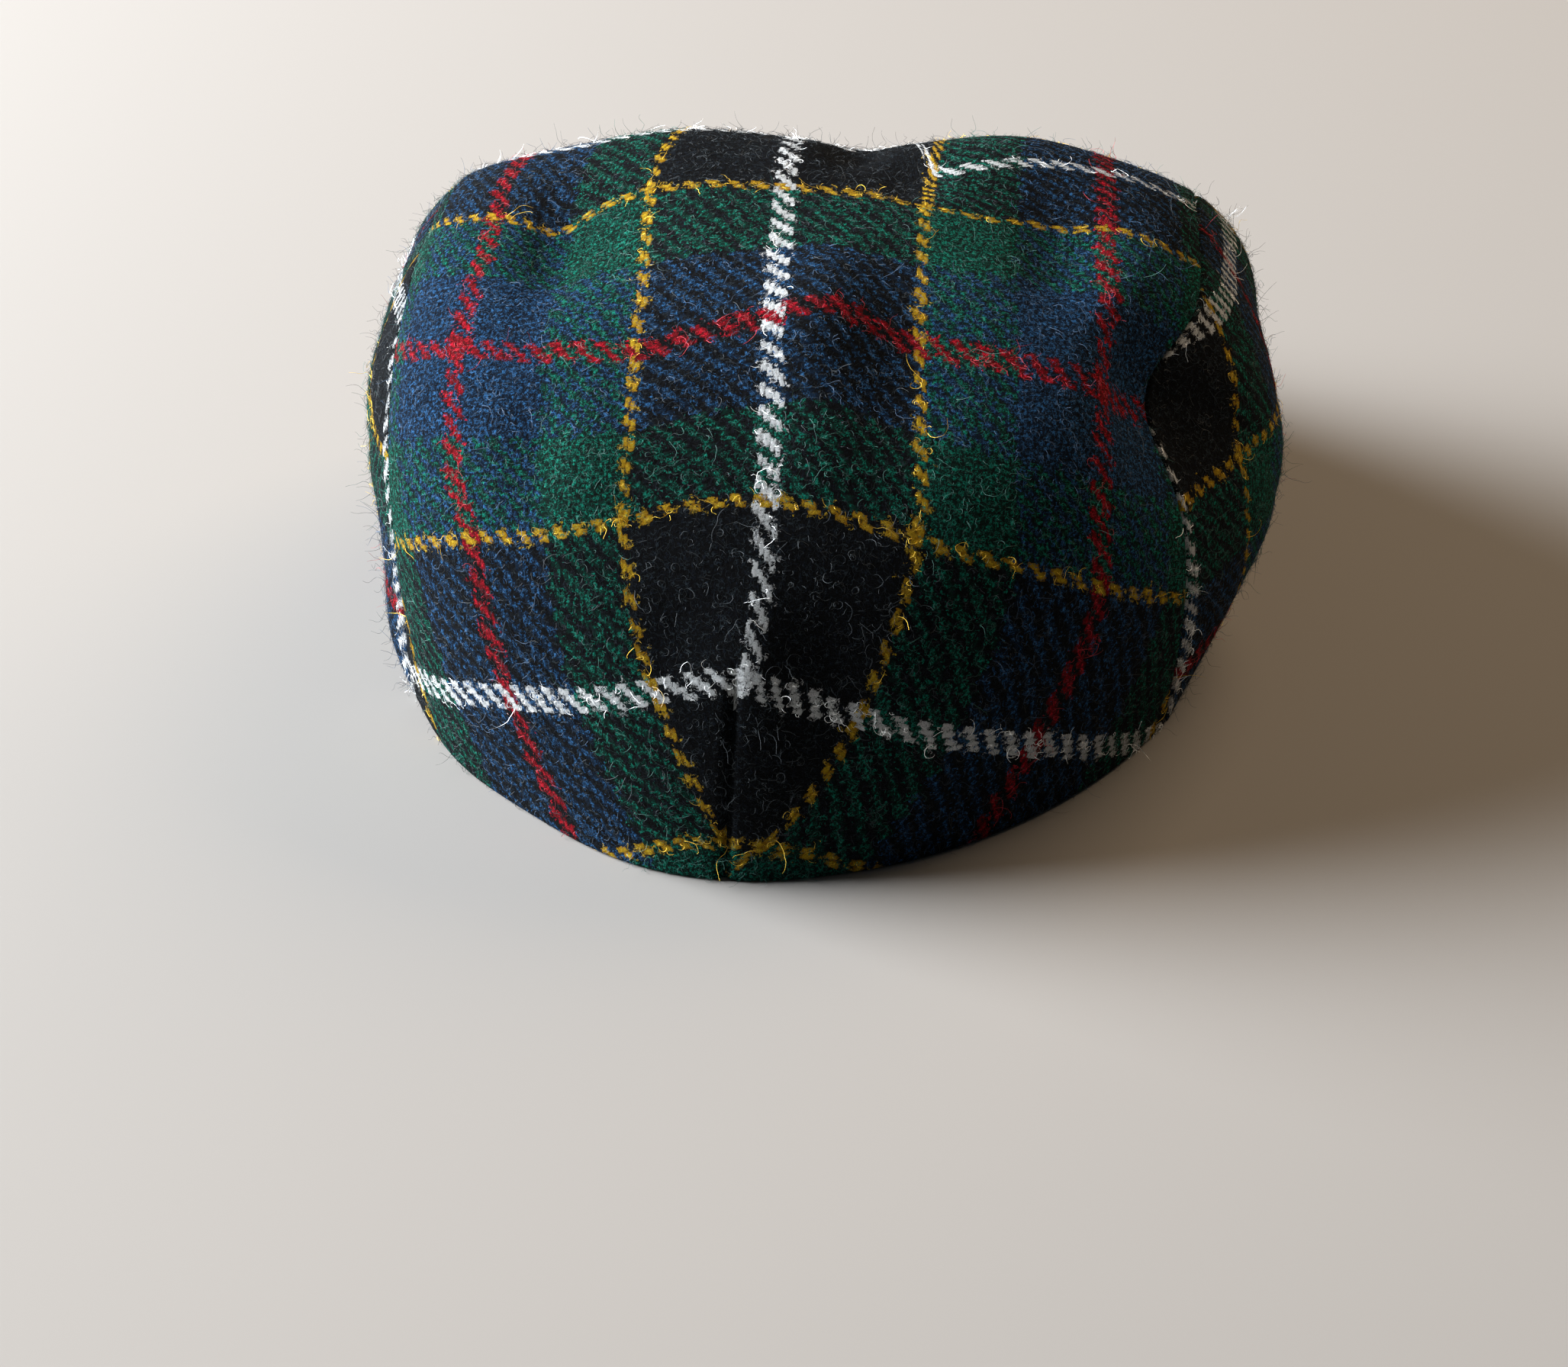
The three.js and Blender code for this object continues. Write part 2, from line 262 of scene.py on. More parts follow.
def seam_frame(side, v):
    """Point, shared facing and direction away from the top panel, on one seam."""
    ends, a = np.clip(v, *TIPS), np.full_like(v, side)
    p = top_point(a, v)
    n = unit(facing(top_point, a, v, -1)
             + facing(lambda i, j: side_point(side, i, j), np.zeros_like(v), ends, 0))
    along = unit(top_point(a, np.minimum(1, v + STEP)) - top_point(a, np.maximum(0, v - STEP)))
    away = unit(np.cross(along, n))
    beside = top_point(a * 0.98, v)  # a little inside the seam
    turn = (away * (p - beside)).sum(-1, keepdims=True)
    return p, n, np.where(turn < 0, -away, away)


def ground(x, y):
    """Height of what the lower edge rests on: the floor at the back, the peak in front."""
    lift = np.interp(y, BASE[:, 1], BASE[:, 2])
    return lift * (peak_top(x, y) + GAP)


print("the crown's middle faces", facing(top_point, np.zeros(1), np.full(1, 0.5), -1).round(2))

# %% [markdown]
# ## Cut and drape
# Every panel is made the same way. A flat grid is added, like a piece of cut cloth.
# Its vertices are laid on the outside of the cap, a Solidify modifier gives it the
# wall, and then both skins are set so that the edges are round. The grid's columns
# stand closer together at the edges, where the cloth turns, than in the middle.

# %% Grid of cloth
ROUND = 1.1  # radius of a turned cloth edge, mm
INNER_TURN = 0.6  # the inner skin turns by this part of the outer's
EDGE_LINES = np.array([0.12, 0.4, 0.8, 1.3])  # mm from an edge to the extra grid lines


def closer_at_ends(count, length, start=0.0, stop=1.0):
    """Parameters from start to stop over length mm, with the extra lines at the ends."""
    inner = np.linspace(start, stop, count)
    step = (stop - start) / length
    near = EDGE_LINES * step
    spare = 1.5 * 1.3 * step  # no even line stands among the extra ones
    inner = inner[(np.abs(inner - start) < 1e-12) | (np.abs(inner - stop) < 1e-12)
                  | ((inner > start + spare) & (inner < stop - spare))]
    return np.sort(np.concatenate([inner, stop - near, start + near]))


def rolled(distance, radius=ROUND):
    """How far the skin has turned in, at a distance from the edge."""
    left = np.clip(radius - distance, 0, radius)
    return radius - np.sqrt(radius**2 - left**2)


def lay_flat(name, columns, rows):
    """A flat grid whose vertices are in rows; returns the object and its vertex order."""
    bpy.ops.object.select_all(action="DESELECT")
    bpy.ops.mesh.primitive_grid_add(x_subdivisions=columns - 1, y_subdivisions=rows - 1, size=1)
    cloth = bpy.context.object
    cloth.name = cloth.data.name = name
    flat = np.empty(len(cloth.data.vertices) * 3)
    cloth.data.vertices.foreach_get("co", flat)
    flat = flat.reshape(-1, 3)
    column = np.rint((flat[:, 0] + 0.5) * (columns - 1)).astype(int)
    row = np.rint((flat[:, 1] + 0.5) * (rows - 1)).astype(int)
    return cloth, column, row


def give_wall(cloth, outer, inner, heart=HEART):
    """Lays the skin, adds the wall with Solidify and sets the inner skin. In mm."""
    def set_places(points):
        cloth.data.vertices.foreach_set("co", ((points - OPENING) * MM).ravel())
        cloth.data.update()
    set_places(outer)
    facing_out = np.empty(len(cloth.data.polygons) * 3)
    cloth.data.polygons.foreach_get("normal", facing_out)
    centres = np.empty_like(facing_out)
    cloth.data.polygons.foreach_get("center", centres)
    from_heart = centres.reshape(-1, 3) / MM + OPENING - heart
    if (facing_out.reshape(-1, 3) * from_heart).sum() < 0:
        bpy.ops.object.mode_set(mode="EDIT")
        bpy.ops.mesh.select_all(action="SELECT")
        bpy.ops.mesh.flip_normals()
        bpy.ops.object.mode_set(mode="OBJECT")
    wall = cloth.modifiers.new("wall", "SOLIDIFY")
    wall.thickness, wall.offset = WALL * MM, -1
    bpy.ops.object.modifier_apply(modifier="wall")
    set_places(np.concatenate([outer, inner]))
    bpy.ops.object.shade_smooth_by_angle(angle=math.radians(50))
    print(cloth.name, len(cloth.data.polygons), "faces")


def set_cloth_uv(cloth, across, along):
    """Writes the place on the flat cloth, in mm, for every corner of every face."""
    layer = cloth.data.uv_layers[0]
    layer.name = "cloth"
    layer.data.foreach_set("uv", np.stack([across, along], -1).ravel())


def corners(cloth):
    """Vertex and face of every face corner."""
    vertex = np.empty(len(cloth.data.loops), dtype=int)
    cloth.data.loops.foreach_get("vertex_index", vertex)
    sizes = np.empty(len(cloth.data.polygons), dtype=int)
    cloth.data.polygons.foreach_get("loop_total", sizes)
    return vertex, np.repeat(np.arange(len(sizes)), sizes)


# %% [markdown]
# ## Where the threads lie
# A woven check can't be painted on like a sticker: it is straight on the flat cloth
# and bends only because the cloth bends. So each vertex gets its place on the flat
# cloth, in millimetres: how far up it is, from the length of the surface above the
# hem, and how far across, from the length along its row. At the back the dart takes
# cloth away, and the threads on both sides run into it. INTAKE says by how much.
# Where slack cloth slides over itself it carries its rows along, as ROW_SHIFT says.

# %% Threads of the top panel
# a, and how far up the flat cloth the hem is there, mm
HEM_LINE = np.array([
    [-1, 36], [-0.8, 28], [-0.6, 20.5], [-0.4, 13], [-0.2, 4.5], [-0.08, 0], [0, -1],
    [0.08, 0], [0.2, 3.5], [0.4, 13.5], [0.6, 23.5], [0.8, 34], [1, 44]])
# mm up the cloth; shift across at the left far line, left near line, left of the dart,
# right of the dart, right near line, right far line
INTAKE = np.array([
    [0, -38, -34.0, -34.0, 30.0, 30.0, 26.0],
    [8, -35.3, -28.4, -28.4, 20.5, 20.5, 22.0],
    [15, -31.9, -24.3, -24.3, 15.5, 15.5, 19.0],
    [28, -25.7, -18.6, -18.6, 8.2, 8.2, 13.5],
    [43, -20.3, -12.3, -12.3, -3.2, 3.1, 7.2],
    [57, -16.8, -7.9, -6.0, -4.5, -0.3, 1.8],
    [62, -15.6, -6.4, -4.2, -4.2, -1.5, 0.0],
    [78, -12, -3.7, -3.2, -3.2, -4.4, -3.0],
    [96, -4.8, -3.4, -2.5, -2.5, -3.8, -0.4],
    [125, -1.9, -2.5, -1.1, -1.1, -1.7, -1.6],
    [150, -3.0, -0.2, 0.0, 0.0, -0.7, -1.3],
    [175, -3.0, 1.7, 1.5, 1.5, -0.2, -0.2],
    [205, -3.7, -1.5, 3.5, 3.5, -0.2, 2.4],
])
NEAR_LINE, FAR_LINE = 28.6, 66.6  # thread lines on the flat cloth, from the centre
LEAST_STEP = 0.5  # cloth gives on the bias: least square of a step across
# slack cloth carries its rows with it: mm up the cloth, then by how much the row there
# is ahead, at each of the places across in ROW_PLACES
ROW_PLACES = [-90, -66.6, -50, -42, -28.6, -14, 0, 10, 18, 24, 28.6, 34, 40, 52, 66.6, 90]
ROW_SHIFT = np.array([
    [20] + 16 * [0],
    [43, -3.4, -3.6, -1.3, 0, 1.3, 1.2, 0.6, 2.4, 4, 4, 4, 3, 2.4, 0.6, -0.2, 0.6],
    [79, -3, -2.8, -0.8, 0, 0.5, -0.7, -0.6, -0.8, -0.2, -0.2, -0.3, -0.8, -1, -2, -3.2, -3],
    [119, 1.2, 1, 4.8, 6.6, 12, 8.6, 5.6, 0, 2.4, 3.6, 5, 4.4, 4, 3, 4, 1],
    [168, 9, 6, 10.5, 1, 0, 3, 4.5, 5, 5, 4, 2.5, 3.5, 3, -3.5, -1, 6],
    [177, 7.5, 5.5, 8, 3, 2, 4, 4.3, 2.5, 0.3, 1, 31, 23, 16, 3.5, 3, 9],
    [193, 4, 4, 5, 4, 4, 5, 4, -2, -8, -6, 34, 28, 22, 14, 12, 14],
    [212, 4, 4, 5, 4, 4, 5, 4, -2, -8, -6, 38, 36, 34, 31, 28, 20],
    [345] + 16 * [20],
])


def soften(field, passes=6):
    """Evens out kinks along a grid, its borders kept."""
    for _ in range(passes):
        field[1:-1] = field[1:-1] / 2 + (field[:-2] + field[2:]) / 4
        field[:, 1:-1] = field[:, 1:-1] / 2 + (field[:, :-2] + field[:, 2:]) / 4
    return field


def shift_across(s, t, side):
    """How far the dart moves the threads at s across and t up, on one side of it."""
    far, near, dart = ([1, 2, 3], [6, 5, 4])[side > 0]
    far, near, dart = (np.interp(t, INTAKE[:, 0], INTAKE[:, k]) for k in (far, near, dart))
    x = s * side
    x_near = np.maximum(NEAR_LINE - side * near, 2.0)
    x_far = np.maximum(FAR_LINE - side * far, x_near + 5)
    beside_dart = dart + (near - dart) * np.clip(x / x_near, 0, 1)
    beyond = near + (far - near) * np.clip((x - x_near) / (x_far - x_near), 0, 1)
    return np.where(x < x_near, beside_dart, beyond)


def thread_places(points, a):
    """Across and along on the flat cloth for the top panel's grid, left and right halves."""
    middle = int(np.argmin(np.abs(a)))
    up = np.zeros(points.shape[:2])
    up[1:] = np.cumsum(np.linalg.norm(np.diff(points, axis=0), axis=-1), axis=0)
    place = np.interp(a, HEM_LINE[:, 0], np.linspace(0, 1, len(HEM_LINE)))
    t = up + between(HEM_LINE[:, 1:], place)[:, 0]
    apart = np.linalg.norm(np.diff(points, axis=1), axis=-1)
    step = np.sqrt(np.maximum(apart**2 - np.diff(t, axis=1)**2, LEAST_STEP * apart**2))
    s = np.concatenate([np.zeros((len(t), 1)), np.cumsum(step, axis=1)], axis=1)
    s -= s[:, middle:middle + 1]
    halves = []
    for side, part in ((-1, slice(0, middle + 1)), (1, slice(middle, None))):
        halves.append(s[:, part] + soften(shift_across(s[:, part], t[:, part], side)))
    across = np.hstack([halves[0], halves[1][:, 1:]])
    shifts = np.stack([np.interp(t, ROW_SHIFT[:, 0], k) for k in ROW_SHIFT[:, 1:].T])
    at = np.interp(across, ROW_PLACES, np.arange(len(ROW_PLACES)))
    low = np.minimum(at.astype(int), len(ROW_PLACES) - 2)
    below, above = (np.take_along_axis(shifts, low[None] + k, 0)[0] for k in (0, 1))
    return t + soften(below + (above - below) * (at - low), 12), halves, middle


print("thread tables:", HEM_LINE.shape, INTAKE.shape, ROW_SHIFT.shape)

# %% [markdown]
# ## The top panel
# It is one piece from the back hem to the peak. The dart is a narrow groove, widest
# at the hem, because the cloth folds in there and is sewn from the inside. Small
# slack, listed in DIMPLES, keeps the wool from looking like moulded plastic.

# %% Slack and seam waves
# place x y z, reach x y z, push outwards, mm
DIMPLES = np.array([
    [14, -99, 34, 9, 20, 26, -1.6],     # hollow to the right of the dart's end
    [-18, -91, 49, 7, 20, 8, -0.9],     # hollow to the left of it
    [-1, -97, 48, 6, 20, 12, 0.9],      # the dart's end stands out
    [-52, -10, 95, 6, 28, 20, -1.9],    # long hollow on the left
    [-38, -6, 96, 9, 17, 20, 1.6],      # and the swelling beside it
    [-48, -63, 77, 6, 14, 14, -1.3],    # hollow lower on the left
    [-37, -68, 74, 9, 14, 14, 0.9],     # swelling beside it
    [7, -36, 97, 9, 22, 14, 1.9],       # ridge up the middle
    [9, -64, 82, 9, 18, 14, 1.0],       # and its lower end
    [25, -42, 92, 8, 30, 20, -1.5],     # hollow to the right of the ridge
    [9, 34, 101, 6, 14, 16, -3.4],      # crease between the two humps
    [22, 15, 103, 7, 10, 16, -2.6],     # where the crease runs out
    [-4, 24, 103, 8, 14, 12, 1.4],      # lip of the crease
    [42, 38, 102, 18, 20, 18, 1.2],     # right hump
    [43, -8, 97, 7, 18, 14, 1.4],       # swelling on the right
    [55, -8, 95, 7, 18, 14, -1.8],      # hollow beyond it
])


def slack(p, n):
    """Places p moved along their facing n by the dimples."""
    for row in DIMPLES:
        p = p + n * row[6] * np.exp(-(((p - row[:3]) / row[3:6])**2).sum(-1, keepdims=True))
    return p


SEAM_WAVE = dict(height=0.35, dies=6.0, flat=3)  # mm; flat: the edge itself stays straight


def ripple(v, to_seam, to_edge):
    """The small waves of a sewn edge, dying out a few mm away from it."""
    waves = np.sin(v * 61 + 0.7) * 0.6 + np.sin(v * 97 + 2.1) * 0.4  # one long, one short
    fading = np.exp(-(to_seam / SEAM_WAVE["dies"])**2)
    return SEAM_WAVE["height"] * waves * fading * smooth(to_edge / SEAM_WAVE["flat"])


print(len(DIMPLES), "swellings and hollows, up to", np.abs(DIMPLES[:, 6]).max(), "mm")

# %% Places of the top panel
HALF_ACROSS = 105  # mm from the centre line to a seam, at the widest
COLUMNS, CROWDED = 2 * 70 + 1, 0.45  # CROWDED: how much closer they stand at the dart
even = np.linspace(-1, 1, COLUMNS)
a_line = even * (1 - CROWDED + CROWDED * np.abs(even))
seam_lines = EDGE_LINES / HALF_ACROSS
dart_lines = np.array([0.25, 0.5]) / HALF_ACROSS
a_line = np.sort(np.concatenate([a_line, 1 - seam_lines, seam_lines - 1, dart_lines, -dart_lines]))
v_line = closer_at_ends(160, 330)
A, V = np.meshgrid(a_line, v_line)
top_places = top_point(A, V)
top_facing = facing(top_point, A, V, -1)
for side, end in ((-1, 0), (1, -1)):
    p, n, away = seam_frame(side, v_line)
    top_places[:, end], top_facing[:, end] = p - away * GAP / 2, n
t_grid, (half_left, half_right), middle = thread_places(top_places, a_line)
print("cloth from hem to front at the centre", t_grid[-1, middle].round(), "mm")

# %% Skins of the top panel
DART = dict(depth=1.7, width=0.9, end=50, fades=14)  # mm; it fades out towards its end
up_hem = np.zeros_like(V)
up_hem[1:] = np.cumsum(np.linalg.norm(np.diff(top_places, axis=0), axis=-1), axis=0)
to_seam = np.minimum(np.linalg.norm(top_places - top_places[:, :1], axis=-1),
                     np.linalg.norm(top_places - top_places[:, -1:], axis=-1))
to_edge = np.minimum(np.minimum(up_hem, up_hem[-1:] - up_hem), to_seam)
to_dart = np.linalg.norm(top_places - top_places[:, middle:middle + 1], axis=-1)
groove = (DART["depth"] * np.exp(-(to_dart / DART["width"])**2)
          * smooth((DART["end"] - up_hem) / DART["fades"]))
puffed = slack(top_places, top_facing)
puffed += top_facing * ripple(V, to_seam, to_edge)[..., None]
outer = puffed - top_facing * (groove + rolled(to_edge))[..., None]
inner = puffed - top_facing * (WALL - rolled(to_edge) * INNER_TURN)[..., None]


def on_ground(points, edge_rows):
    """Nothing goes below what the cap stands on, and the edge rows stand right on it."""
    level_here = ground(points[..., 0], points[..., 1])
    points[..., 2] = np.maximum(points[..., 2], level_here)
    for part in edge_rows:
        points[..., 2][part] = level_here[part]
    return points


hem_and_front = [0, -1]
outer, inner = on_ground(outer, hem_and_front), on_ground(inner, hem_and_front)
print("the top panel's outer skin reaches", outer[..., 2].max().round(1), "mm up")

# %% The top panel's cloth
top_panel, column, row = lay_flat("top_cloth", len(a_line), len(v_line))
vertex, face = corners(top_panel)
face_column = np.full(len(top_panel.data.polygons), len(a_line))
np.minimum.at(face_column, face, column[vertex])
# a face on the dart's line takes the threads of its own side
across = np.where(face_column[face] < middle,
                  half_left[row[vertex], np.minimum(column[vertex], middle)],
                  half_right[row[vertex], np.maximum(column[vertex] - middle, 0)])
set_cloth_uv(top_panel, across, t_grid[row[vertex], column[vertex]])
give_wall(top_panel, outer[row, column], inner[row, column])

# %% [markdown]
# ## The side panels
# Each is a crescent between the top panel's seam, the hem and the peak. Its threads
# run straight down the cap: the rows lie level, and a white column follows the seam
# at the back. Unwrap would also lay the panel flat, but turns its threads with the
# crescent, so the rows are set by their height and the columns by their distance
# from the white one. The two sides were cut apart, so their rows differ in height.

# %% Side panels
# mm up the flat cloth, and the height of that row on the right and on the left panel
SIDE_ROWS = np.array([[103, -5, 4], [125.4, 14, 25], [172.8, 57, 62], [207.8, 80, 81],
                      [247.8, 112, 110]])
# height, and how far forward the white column stands there on the right and on the left
SIDE_COLUMN = np.array([[0, -37.5, -37.5], [13, -38, -38], [27, -41, -41], [45, -44.5, -44.5],
                        [57, -43, -42.5], [67, -35, -34.5], [76, -28, -24], [84, -22, -12],
                        [112, -4, 10]])
# the rows fall towards the front: from which y on, and by how much, right and left
FALL = {1: dict(start=0, slope=0.0), -1: dict(start=-12, slope=0.15)}
# further forward the columns hang straight: where one of them would stand, and how it leans
FRONT_COLUMN = dict(place=-41, lean=0.06, near=26, far=95)
SPREAD = ([15, 45], [1.1, 1.3])  # height, and mm of cloth for each mm forward
b_line = closer_at_ends(40, 85)
w_line = closer_at_ends(150, 300, 0.004, 0.996)


def side_panel(name, side):
    """Makes one side panel; returns it with its outer skin and its threads."""
    B, W = np.meshgrid(b_line, w_line)
    places = side_point(side, B, W)
    n = facing(lambda i, j: side_point(side, i, j), B, np.clip(W, *TIPS), 0)
    p, seam_n, away = seam_frame(side, w_line)
    places[:, 0], n[:, 0] = p + away * GAP / 2, seam_n
    y, z = places[..., 1], places[..., 2]
    mine = 1 if side > 0 else 2  # this panel's column in the tables
    level = z + FALL[side]["slope"] * np.maximum(0, y - FALL[side]["start"])
    along = soften(np.interp(level, SIDE_ROWS[:, mine], SIDE_ROWS[:, 0]))
    forward = y - np.interp(z, SIDE_COLUMN[:, 0], SIDE_COLUMN[:, mine])
    straight = y - FRONT_COLUMN["place"] - FRONT_COLUMN["lean"] * z
    front = smooth((straight - FRONT_COLUMN["near"]) / (FRONT_COLUMN["far"] - FRONT_COLUMN["near"]))
    forward += (straight - forward) * front
    across = soften(forward * np.interp(z, *SPREAD))
    to_seam = np.linalg.norm(places - places[:, :1], axis=-1)
    to_edge = np.minimum(to_seam, np.linalg.norm(places - places[:, -1:], axis=-1))
    puffed = places + n * ripple(W, to_seam, to_edge)[..., None]
    lower_edge = [(slice(None), -1)]
    outer = on_ground(puffed - n * rolled(to_edge)[..., None], lower_edge)
    inner = on_ground(puffed - n * (WALL - rolled(to_edge) * INNER_TURN)[..., None], lower_edge)
    cloth, column, row = lay_flat(name, len(b_line), len(w_line))
    vertex, _ = corners(cloth)
    set_cloth_uv(cloth, across[row, column][vertex], along[row, column][vertex])
    give_wall(cloth, outer[row, column], inner[row, column])
    return cloth, outer, n, across, along


right_panel, *right_skin = side_panel("right_side_cloth", 1)
left_panel, *left_skin = side_panel("left_side_cloth", -1)

# %% [markdown]
# ## The peak
# The peak is a curved board covered in the same cloth, and most of it is hidden under
# the front of the top panel. It is a grid between the head opening and the outer
# edge, given the board's thickness and a half-round edge.

# %% Peak
PEAK_ROUND = 2.0  # mm, radius of the cloth turned round the board
PEAK_ROWS = 12  # mm, to carry the top panel's pattern on
UNDER_PEAK = np.array([0, 100, -60.0])  # a point below the peak, to tell up from down
r_line = closer_at_ends(20, 50)
turn_line = closer_at_ends(90, 190, -1, 1)
T, R = np.meshgrid(turn_line, r_line)
turn_end = math.acos(PEAK["corner"] / RIM[1])
in_x, in_y = RIM[0] * np.sin(T * turn_end), RIM[1] * np.cos(T * turn_end)
k, out_turn = PEAK["square"], T * math.pi / 2
out_x = PEAK["half"] * (np.sin(out_turn) + k * np.sin(3 * out_turn)) / (1 - k)
ahead = np.cos(out_turn) - k * np.cos(3 * out_turn)
out_y = PEAK["corner"] + (PEAK["front"] - PEAK["corner"]) * ahead / (1 - k)
x, y = in_x + (out_x - in_x) * R, in_y + (out_y - in_y) * R
board = np.stack([x, y, peak_top(x, y)], -1)
to_rim = np.linalg.norm(board - board[-1:], axis=-1)
to_rim = np.minimum(to_rim, np.linalg.norm(board - board[:1], axis=-1))
turned = rolled(to_rim, PEAK_ROUND)
upper, lower = board.copy(), board.copy()
upper[..., 2] -= turned
lower[..., 2] += turned - PEAK["thick"]
peak, column, row = lay_flat("peak_cloth", len(turn_line), len(r_line))
vertex, _ = corners(peak)
set_cloth_uv(peak, x[row, column][vertex], y[row, column][vertex] + PEAK_ROWS)
give_wall(peak, upper[row, column], lower[row, column], heart=UNDER_PEAK)

# %% [markdown]
# ## The cloth: woollen twill, dyed in the yarn and woven in a tartan
# Woollen yarn is spun from short curly fibre, so it is thick, hairy and matt. In a
# two-and-two twill each thread passes over two and under two, one step further each
# row, which draws the fine diagonal. A tartan uses one list of colours, the sett,
# both ways: where both threads have one colour the cloth is plain, and elsewhere the
# two colours show as steps along the diagonal. All of that comes from two numbers at
# each point, the thread's count across and along, worked out from the thread spacing
# in millimetres. Relief and colour come from the same threads, so they can't slip.

# %% Colours and one helper for nodes
def linear(hex_colour):
    """An sRGB hex value as the linear colour that Blender works in."""
    parts = [int(hex_colour[i:i + 2], 16) / 255 for i in (1, 3, 5)]
    return tuple(c / 12.92 if c <= 0.04045 else ((c + 0.055) / 1.055)**2.4
                 for c in parts) + (1.0,)


def add_node(tree, kind, links=None, **settings):
    """Adds one node. links maps its sockets, by name or number, to values, nodes or
    other sockets. A Map Range node's 1 to 4 are from min, from max, to min, to max."""
    new = tree.nodes.new(kind)
    for name, value in settings.items():
        setattr(new, name, value)
    for socket, value in (links or {}).items():
        if isinstance(value, bpy.types.Node):
            value = value.outputs[0]
        if isinstance(value, bpy.types.NodeSocket):
            tree.links.new(value, new.inputs[socket])
        else:
            new.inputs[socket].default_value = value
    return new


MATH, VECTOR = "ShaderNodeMath", "ShaderNodeVectorMath"
MAP, MIX, NOISE = "ShaderNodeMapRange", "ShaderNodeMix", "ShaderNodeTexNoise"
FACTOR, FIRST, SECOND, MIXED = 0, 6, 7, 2  # a Mix node's sockets when it mixes colours
WARP_PITCH, WEFT_PITCH = 1.19, 1.47  # mm from thread to thread, across and along
FIRST_ROW = 43.0  # mm up the cloth to the middle of a white line
HALF_SETT = 56  # threads from the white line to the red one
# threads from the white line at which white, black, yellow, green, blue and red start
SETT = [(0, "#f6f9f9"), (2, "#020306"), (23, "#d4b024"),
        (25, "#013b2f"), (40, "#0f2b45"), (54, "#940217")]
print("half a sett:", round(HALF_SETT * WARP_PITCH), "by", round(HALF_SETT * WEFT_PITCH), "mm")

# %% Woven colours and relief
THREAD_ROUND = -3.0  # how far a thread's sides lie below its middle
CRIMP = 0.9  # how high a thread climbs over the other
PASSING = 0.45  # difference in height over which colour changes


def sett_colour(tree, count):
    """The colour of a thread from its count: the sett, mirrored at both ends."""
    folded = add_node(tree, MATH, {0: count, 1: float(HALF_SETT)}, operation="PINGPONG")
    place = add_node(tree, MATH, {0: folded, 1: float(HALF_SETT)}, operation="DIVIDE")
    ramp = add_node(tree, "ShaderNodeValToRGB", {0: place})
    ramp.color_ramp.interpolation = "CONSTANT"
    for k, (start, colour) in enumerate(SETT):
        stops = ramp.color_ramp.elements  # a new ramp has two
        stop = stops[k] if k < 2 else stops.new(start / HALF_SETT)
        stop.position, stop.color = start / HALF_SETT, linear(colour)
    return ramp


def strayed(tree, here, place, size, reach, **settings):
    """A place on the cloth moved by a noise; size and reach in mm."""
    links = {"Vector": here, "Scale": 1 / (size * MM), **settings}
    noise = add_node(tree, NOISE, links).outputs["Color"]
    noise = add_node(tree, VECTOR, {0: noise, 1: (0.5, 0.5, 0.5)}, operation="SUBTRACT")
    return add_node(tree, VECTOR, {0: noise, 1: (reach, reach, 0), 2: place},
                    operation="MULTIPLY_ADD")


def weave(tree, place):
    """Colour and height of the twill at a place on the flat cloth, in mm."""
    counts = add_node(tree, VECTOR, {0: place, 1: (0, FIRST_ROW, 0)}, operation="SUBTRACT")
    counts = add_node(tree, VECTOR, {0: counts, 1: (WARP_PITCH, WEFT_PITCH, 1)},
                      operation="DIVIDE")
    counts = add_node(tree, "ShaderNodeSeparateXYZ", {0: counts})
    x, y = counts.outputs["X"], counts.outputs["Y"]
    heights, colours = [], []
    for own, other, crest in ((x, y, 1.0), (y, x, 3.0)):
        number = add_node(tree, MATH, {0: own}, operation="FLOOR")
        middle = add_node(tree, MATH, {0: number, 1: 0.5}, operation="ADD")
        colours.append(sett_colour(tree, middle))
        # round across the thread: 1 on its middle, lower at its sides
        aside = add_node(tree, MATH, {0: own, 1: middle}, operation="SUBTRACT")
        aside = add_node(tree, MATH, {0: aside, 1: aside}, operation="MULTIPLY")
        rounded = add_node(tree, MATH, {0: aside, 1: THREAD_ROUND, 2: 1.0},
                           operation="MULTIPLY_ADD")
        # over two, under two: a wave four threads long, one step on in each thread
        along = add_node(tree, MATH, {0: number, 1: other}, operation="ADD")
        along = add_node(tree, MATH, {0: along, 1: crest}, operation="SUBTRACT")
        along = add_node(tree, MATH, {0: along, 1: math.pi / 2}, operation="MULTIPLY")
        wave = add_node(tree, MATH, {0: along}, operation="COSINE")
        heights.append(add_node(tree, MATH, {0: wave, 1: CRIMP, 2: rounded},
                                operation="MULTIPLY_ADD"))
    over = add_node(tree, MATH, {0: heights[1], 1: heights[0]}, operation="SUBTRACT")
    over = add_node(tree, MAP, {0: over, 1: -PASSING, 2: PASSING})
    height = add_node(tree, MATH, {0: heights[0], 1: heights[1]}, operation="MAXIMUM")
    colour = add_node(tree, MIX, {FACTOR: over, FIRST: colours[0], SECOND: colours[1]},
                      data_type="RGBA")
    return colour.outputs[MIXED], height


# %% Hairs on the cloth
BEND = dict(size=0.6, reach=1.8)  # of a hair, in cells


